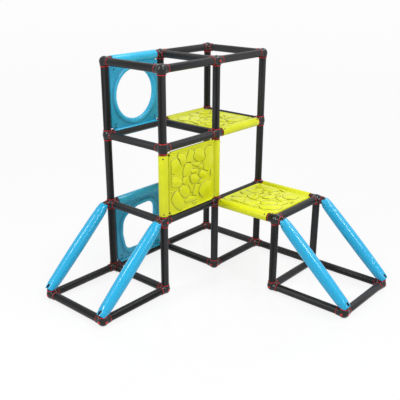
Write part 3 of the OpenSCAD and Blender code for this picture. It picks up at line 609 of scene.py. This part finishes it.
# %% [markdown]
# ## Crawl panels
#
# Two blue panels fill a cell of the frame, each with a hole to crawl through and a fat round bead along
# its edge. The upper hole is a circle and the lower one is an uneven cave. Both are the same idea: a
# section of plate, fillet and bead is carried along the outline of the hole, and its outer end is
# stretched out to the panel's edge.

# %% Outlines of the holes
CAVE = np.array([[75.4, 80.3, 57.3], [4.9, 54.3, 80.3], [-62.2, 35.1, 71.2], [-68.2, -7.9, 69.3],
                 [-66.3, -74.3, 57.3], [58.1, -68.2, 68.2]])
ROUND = np.array([[0, 0, 145.0]])
BEAD = 15.5


def hole_outline(circles, count=420):
    """Even outline round a few circles, and its outward normals: each way the farthest circle wins."""
    angle = np.linspace(0, 2 * np.pi, 2881)
    normal = np.stack([np.cos(angle), np.sin(angle)], -1)
    widest = (normal @ circles[:, :2].T + circles[:, 2]).argmax(1)
    line = circles[widest, :2] + (circles[widest, 2:] + BEAD) * normal
    run = np.concatenate([[0], np.cumsum(np.linalg.norm(np.diff(line, axis=0), axis=1))])
    even = np.linspace(0, run[-1], count, endpoint=False)
    line = np.stack([np.interp(even, run, line[:, k]) for k in (0, 1)], -1)
    ahead = np.roll(line, -1, 0) - np.roll(line, 1, 0)
    out = np.stack([ahead[:, 1], -ahead[:, 0]], -1)
    return line, out / np.linalg.norm(out, axis=1, keepdims=True)


# %% Clip for the lower tube
CLIP_FROM, CLIP_TO, LIP_TURN, CLIP_ROUND = 50, 270, 0.09, 1.5


def tube_clip():
    """An open sleeve along Y, from 50 to 270 degrees round the lower tube, with round lips and ends."""
    arc = np.radians(np.linspace(CLIP_FROM, CLIP_TO, 40))
    lip = np.linspace(0, np.pi, 6)[1:-1]
    bulge = LIP_TURN * np.sin(lip)
    angle = np.concatenate([arc, arc[-1] + bulge, arc[::-1], arc[0] - bulge])
    half_wall = (SLEEVE_OUT - SLEEVE_BORE) / 2
    off_middle = np.concatenate([np.ones(len(arc)), np.cos(lip), -np.ones(len(arc)), -np.cos(lip)])
    along = (HALF_SLEEVE - np.array([0, 0, CLIP_ROUND]))[:, None]
    along = np.concatenate([-along, along[::-1]])
    wall = half_wall * np.array([0, 0.4, 1, 1, 0.4, 0])[:, None]
    radius = SLEEVE_BORE + half_wall + off_middle * wall
    clip = np.stack([radius * np.cos(angle), 0 * angle + along, radius * np.sin(angle) - STOREY / 2], -1)
    return clip.reshape(-1, 3), grid_faces(*clip.shape[:2], ring_cols=True)


# %% Panels with a bead and a sleeve
HALF_THICK, EDGE_ROUND, FOOT, BEAD_SHADE, PLATE_SHADE = 6.0, 4, 20, 0.36, 0.2
CELL_WIDE, CELL_TALL = (191, 177), (173, 185)  # two rectangles that leave the connectors' corners free


def crawl_panel(circles):
    """A bead, a plate, a sleeve and a clip, with Y along the tubes and Z up.

    Half thickness = bead's circle from its inner edge to its middle, then (circle^5 + 6^5)^(1/5), then 6 mm
    out to the panel's edge, which is rounded over its last 4 mm.
    """
    line, out = hole_outline(circles)
    bend = np.linspace(0, np.pi / 2, 9)
    bead_off, bead_t = -BEAD * np.cos(bend), BEAD * np.sin(bend)
    foot_off = np.linspace(1.5, FOOT, 12)
    foot_t = (np.clip(BEAD ** 2 - foot_off ** 2, 0, None) ** 2.5 + HALF_THICK ** 5) ** 0.2
    edge = EDGE_ROUND * (1 - np.sin(np.linspace(0, np.pi / 2, 6)))
    edge_t = HALF_THICK * np.sqrt(1 - (1 - edge / EDGE_ROUND) ** 2)

    def to_edge(half_y, half_z):
        """How far each ray from the outline runs to the side of a rectangle."""
        with np.errstate(divide="ignore"):
            return np.min((np.array([half_y, half_z]) - np.sign(out) * line) / abs(out), axis=1)

    far = np.maximum(to_edge(*CELL_WIDE), to_edge(*CELL_TALL))[:, None]
    near = np.concatenate([bead_off, foot_off])
    near = np.broadcast_to(near, (len(line), len(near)))
    plate = foot_off[-1] + (far - EDGE_ROUND - foot_off[-1]) * np.linspace(0, 1, 7)[None, 1:-1]
    offset = np.concatenate([near, plate, far - edge], 1)
    half_t = np.concatenate([bead_t, foot_t, np.full(plate.shape[1], HALF_THICK), edge_t])
    flat = line[:, None] + offset[..., None] * out[:, None]
    front = np.concatenate([np.broadcast_to(half_t, offset.shape)[..., None], flat], -1)
    shape = np.concatenate([front, (front * [-1, 1, 1])[:, ::-1]], 1)
    body = shape.reshape(-1, 3), grid_faces(*shape.shape[:2], True, True)

    sleeve = turned(SLEEVE, np.array([0, 0, STOREY / 2]), (0, 1, 0), 64)
    points, faces = joined([body, sleeve, tube_clip()])
    # Painted shade: a dark band at the bead's foot, and the flat plate darker than the crest, as if the crest
    # caught more light.
    crease = BEAD_SHADE * np.exp(-((offset - 15) / 5) ** 2) + PLATE_SHADE * smooth(offset, 11, FOOT)
    crease = np.concatenate([crease, crease[:, ::-1]], 1).ravel()
    return points, faces, np.pad(crease, (0, len(points) - len(crease)))


# %% Upper and lower crawl panel
CRAWL_PLACES = {"upper_crawl_panel": (ROUND, (0, 0.5, 2.5)), "lower_crawl_panel": (CAVE, (0, 0.5, 0.5))}
for node, (circles, middle) in CRAWL_PLACES.items():
    points, faces, crease = crawl_panel(circles)
    moulded_piece(node + "_moulding", points + at(middle), faces, blue_plastic,
                  "blue_plastic", [node], crease=crease)

# %% [markdown]
# ## Pads
#
# A foam sleeve in a glossy vinyl cover goes round each sloping rail. The cover is cut a little narrower at
# its ends, where side flaps reach over the elbow and a round notch leaves the elbow's outer side bare. A
# plain turned shape would look like hard plastic, so the cover is laid out as a slightly slim skin on a
# grid, held at its flaps and along its bore, and then blown up as cloth until the foam fills it.

# %% Rails under the pads
UPPER_BEND, LOWER_BEND = 52.5, 41.5


def ramp_rail(ramp):
    """Upper bend, length to the lower bend, and the rail's axes: along it, out of the ramp and sideways."""
    top, way = RAMPS[ramp]
    upper = at(top) + UPPER_BEND * np.array(way)
    run = at(np.add(top, way) - [0, 0, 1]) + [0, 0, LOWER_BEND] - upper
    along = run / np.linalg.norm(run)
    side = np.cross([0, 0, 1], way)
    return upper, np.linalg.norm(run), along, np.cross(along, side), side


print("pads:", {ramp: f"{ramp_rail(ramp)[1]:.1f} mm between the bends" for ramp in RAMPS})

# %% Skin of a pad
VINYL, SLIM, EDGE, HEM, SWELL, BORE = 1.3, 1.5, 26.6, 3.2, 7.8, 22.8
PAD_START, ROUND_STEPS = 13.5, 72
STUD_RUN, STUD_SEAT, DIMPLE_DEEP, DIMPLE_WIDTH = PAD_START + 12, 30.0, 1.4, 6
SLANT, TAB, TAB_TURN, TAB_WIDTH = 8.75, 13, 1.4, 0.28
FLAP_LOW, FLAP_SWING, FLAP_MOST, NOTCH, LIPS_CLOSE = 9, 21.5, 18, 26, 0.48
BODY_FROM, BODY_TO = 0.06, 0.94


def pad_skin(ramp):
    """Outer and inner skin of a pad as one closed grid, and how firmly each point is held, from 0 to 1.

    Radius = 26.6 mm at the edge + 3.2 mm over the hem + 6.3 sin(pi t)^0.6 along the body, less a dimple at
    each stud. The full swell is 7.8 mm, and the foam's pressure adds the rest of it. The upper edge is cut
    aslant, with a narrow tab on both sides. The lower edge has wide flaps round the elbow, and a notch on
    its outer side whose lips close below it.
    """
    upper, length, along, out, side = ramp_rail(ramp)
    turn = np.linspace(-np.pi, np.pi, ROUND_STEPS, endpoint=False)[None]
    tab = TAB * np.exp(-((abs(turn) - TAB_TURN) / TAB_WIDTH) ** 2)
    first = PAD_START - SLANT * (1 + np.cos(turn)) - tab
    flap = np.clip((FLAP_LOW + FLAP_SWING * np.cos(turn)) / -along[2], -PAD_START, FLAP_MOST)
    last = length + flap - NOTCH * (1 - smooth(abs(turn), 0.34, 0.54))
    first_rows, last_rows = np.linspace(0, BODY_FROM, 10)[:-1], np.linspace(BODY_TO, 1, 10)[1:]
    share = np.concatenate([first_rows, np.linspace(BODY_FROM, BODY_TO, 110), last_rows])
    ends = np.array([0, BODY_FROM, BODY_TO, 1])
    run = (np.interp(share, ends, [1, 0, 0, 0])[:, None] * (first - PAD_START)
           + np.interp(share, ends, [0, 0, 0, 1])[:, None] * (last - length + PAD_START)
           + PAD_START + share[:, None] * (length - 2 * PAD_START))
    inwards = np.minimum(run - first, last - run)
    t = np.clip((run - PAD_START) / (length - 2 * PAD_START), 1e-4, 1 - 1e-4)
    from_stud = np.hypot(np.minimum(run, length - run) - STUD_RUN, STUD_SEAT * (abs(turn) - np.pi / 2))
    outer = (EDGE + HEM * smooth(inwards, 0, 16) + (SWELL - SLIM) * np.sin(np.pi * t) ** 0.6
             - DIMPLE_DEEP * np.exp(-(from_stud / DIMPLE_WIDTH) ** 2))
    inner = outer - VINYL - (outer - VINYL - BORE) * smooth(inwards, 34, 62)
    held = np.concatenate([1 - smooth(inwards, 12, 36), np.ones_like(inner)])
    closing = LIPS_CLOSE * smooth(run, length + 10, length + 16) * (1 - smooth(abs(turn), 0.58, 1.4))
    bent = np.sign(turn) * np.maximum(abs(turn) - closing, np.minimum(abs(turn), 0.03))
    run, bent = np.concatenate([run, run[::-1]]), np.concatenate([bent, bent[::-1]])
    radius = np.concatenate([outer, inner[::-1]])
    ray = np.cos(bent)[..., None] * out + np.sin(bent)[..., None] * side
    points = upper + run[..., None] * along + radius[..., None] * ray
    return points.reshape(-1, 3), grid_faces(*run.shape, True, True), held.ravel()


# %% [markdown]
# ## Vinyl
#
# The covers are cloth with a thick blue coat of PVC. Under a lamp it shows a long bright streak, and in the
# shade it stays a deep blue. One glossy layer would give the streak too, but it would also veil the shade
# with white from the floor. So a nearly matt blue lies under a clear coat, and two bumps give it a fine
# grain and soft ripples.

# %% Coated cloth
# PVC-coated cloth: deep blue under a clear gloss. The real grain is about 1 mm, too fine to show, so it is 3.
CLOUD_MM, RIPPLE_MM, GRAIN_MM = 120, 45, 3.0
vinyl, tree = finish("blue_coated_vinyl")
where = add(tree, "ShaderNodeTexCoord").outputs["Object"]
cloud = add(tree, "ShaderNodeTexNoise", {"Vector": where, "Scale": 1000 / CLOUD_MM, "Detail": 3.0})
grain = add(tree, "ShaderNodeTexNoise", {"Vector": where, "Scale": 1000 / GRAIN_MM, "Detail": 2.0})
ripple = add(tree, "ShaderNodeTexNoise", {
    "Vector": where, "Scale": 1000 / RIPPLE_MM, "Detail": 2.0, "Distortion": 0.6})
tint = add(tree, "ShaderNodeMix", {"Factor": cloud.outputs["Fac"], 6: linear("12aad8"), 7: linear("0ea2d0")},
           data_type="RGBA")
folds = add(tree, "ShaderNodeBump", {"Height": ripple.outputs["Fac"], "Strength": 0.05, "Distance": 0.002})
skin = add(tree, "ShaderNodeBump", {"Height": grain.outputs["Fac"], "Strength": 0.05, "Distance": 0.0001,
                                    "Normal": folds.outputs[0]})
body = add(tree, "ShaderNodeBsdfPrincipled", {
    "Base Color": tint.outputs[2], "Roughness": 0.42, "Normal": skin.outputs[0], "IOR": 1.52,
    "Specular IOR Level": 0.05, "Coat Weight": 0.9, "Coat Roughness": 0.2})
add(tree, "ShaderNodeOutputMaterial", {"Surface": body.outputs[0]})
print("finish of the pads:", vinyl.name)

# %% [markdown]
# ## Stuffing
#
# The foam presses every cover outwards, and its edges hold it back. A smooth modifier could round the pads
# as well, but cloth under pressure finds by itself where it bulges. A weight of 1 holds the flaps and the
# bore, a weight of 0 leaves the body free, and the result is written into the mesh, by 6 mm at most.

# %% Covers and their weights
def points_of(mesh):
    """All points of a mesh as an array."""
    flat = np.zeros(len(mesh.vertices) * 3, np.float32)
    mesh.vertices.foreach_get("co", flat)
    return flat.reshape(-1, 3)


pads = {}
for ramp in RAMPS:
    points, faces, held = pad_skin(ramp)
    pad = moulded_piece(ramp + "_pad_cover", points, faces, vinyl, "blue_vinyl",
                        [ramp + "_pad", ramp + "_foam"], held=held)
    firm = np.zeros(len(pad.data.vertices), np.float32)
    pad.data.attributes["held"].data.foreach_get("value", firm)
    group = pad.vertex_groups.new(name="held")
    for level in np.unique(np.round(firm, 2)):
        group.add(np.flatnonzero(np.round(firm, 2) == level).tolist(), float(level), "REPLACE")
    pads[ramp] = pad

# %% Pressure of the foam
MOST_MOVE, CLOTH_STEPS = 0.006, 20  # metres, frames
for pad in pads.values():
    cloth = pad.modifiers.new("foam_fill", "CLOTH")
    cloth.point_cache.frame_end = CLOTH_STEPS
    settings = cloth.settings
    settings.vertex_group_mass = "held"
    settings.mass = 0.002
    settings.use_pressure, settings.uniform_pressure_force = True, 500.0
    settings.tension_stiffness = settings.compression_stiffness = 1.5
    settings.bending_stiffness = 0.2
    settings.effector_weights.gravity = 0
for step in range(1, CLOTH_STEPS + 1):
    bpy.context.scene.frame_set(step)
shown = bpy.context.evaluated_depsgraph_get()
blown = {ramp: points_of(pad.evaluated_get(shown).data) for ramp, pad in pads.items()}
for ramp, pad in pads.items():
    move = blown[ramp] - points_of(pad.data)
    far = np.linalg.norm(move, axis=1, keepdims=True)
    move = move * np.minimum(1, MOST_MOVE / np.maximum(far, 1e-9))
    pad.modifiers.clear()
    pad.data.vertices.foreach_set("co", (points_of(pad.data) + move).ravel())
    pad.data.update()
    print(f"{ramp} pad moved by {far.max() * 1000:.2f} mm at most, {far.mean() * 1000:.2f} on average")
bpy.context.scene.frame_set(1)

# %% [markdown]
# ## Folds and studs
#
# The pad at the back right has slanting folds near its ends, and the others have one shallow fold each.
# A simulation would put its folds where it likes, so each one is a furrow with a ridge beside it, at a
# chosen place. The cloth's smallest waves are evened out first, because gloss shows them as speckles. Small
# press studs on both sides close the ends of the covers.

# %% Folds
FOLDS = {
    # run along the rail, angle, slant per radian, depth, half width, spread of the angle
    "left_back": [(70, 0.9, 10, 0.7, 12, 0.7)],
    "left_front": [(480, 0.8, -12, 0.7, 12, 0.7)],
    "right_front": [(84, -0.9, 10, 0.8, 12, 0.7)],
    "right_back": [(74, -0.7, 20, 2.4, 9, 0.6), (436, -0.2, -30, 2.8, 9, 0.5), (470, -0.6, -34, 3.0, 9, 0.6),
                   (504, -1.0, -24, 2.4, 9, 0.6)],
}


def folded(points, ramp):
    """Points of a pad in metres drawn in along its folds: a Gaussian furrow with a lower ridge beside it."""
    upper, _, along, out, side = ramp_rail(ramp)
    rel = points * 1000 - upper
    run = rel @ along
    angle = np.arctan2(rel @ side, rel @ out)
    radius = np.hypot(rel @ side, rel @ out)
    sink = np.zeros(len(points))
    for place, middle, slant, depth, width, spread in FOLDS[ramp]:
        off = (angle - middle + np.pi) % (2 * np.pi) - np.pi
        line = (run - place - slant * off) / width
        sink += depth * (np.exp(-line ** 2) - 0.6 * np.exp(-(line - 1.7) ** 2)) * np.exp(-(off / spread) ** 2)
    sink = sink * smooth(radius, 27.0, 29.0) / 1000
    return points - sink[:, None] * (np.cos(angle)[:, None] * out + np.sin(angle)[:, None] * side)


print("folds:", {ramp: len(rows) for ramp, rows in FOLDS.items()})

# %% Even skin, folds and studs
EVEN_PASSES, EVEN_SHARE = 10, 0.6


def evened(points):
    """Points of a pad's outer skin drawn to the mean of their four neighbours, a few times over."""
    grid = points.reshape(-1, ROUND_STEPS, 3).astype(float)
    skin = grid[:len(grid) // 2]
    row = np.arange(len(skin))
    free = smooth(np.minimum(row, row[::-1])[1:-1], 6, 12)[:, None, None]
    for _ in range(EVEN_PASSES):
        middle = (skin[:-2] + skin[2:] + np.roll(skin, 1, 1)[1:-1] + np.roll(skin, -1, 1)[1:-1]) / 4
        skin[1:-1] += EVEN_SHARE * free * (middle - skin[1:-1])
    return grid.reshape(-1, 3)


STUD = rounded_band(0.6, 4, -0.6, 2, 0.9, 4)
stud_rings = []
for ramp, pad in pads.items():
    pad.data.vertices.foreach_set("co", folded(evened(points_of(pad.data)), ramp).astype(np.float32).ravel())
    pad.data.update()
    finer = pad.modifiers.new("finer", "SUBSURF")
    finer.levels = finer.render_levels = 1
    upper, length, along, out, side = ramp_rail(ramp)
    for run in (STUD_RUN, length - STUD_RUN):
        for way in (side, -side):
            stud_rings.append(turned(STUD, upper + run * along + STUD_SEAT * way, way, 24))
moulded_piece("pad_stud_heads", *joined(stud_rings), dark_metal, "dark_fasteners", ["pad_studs"])
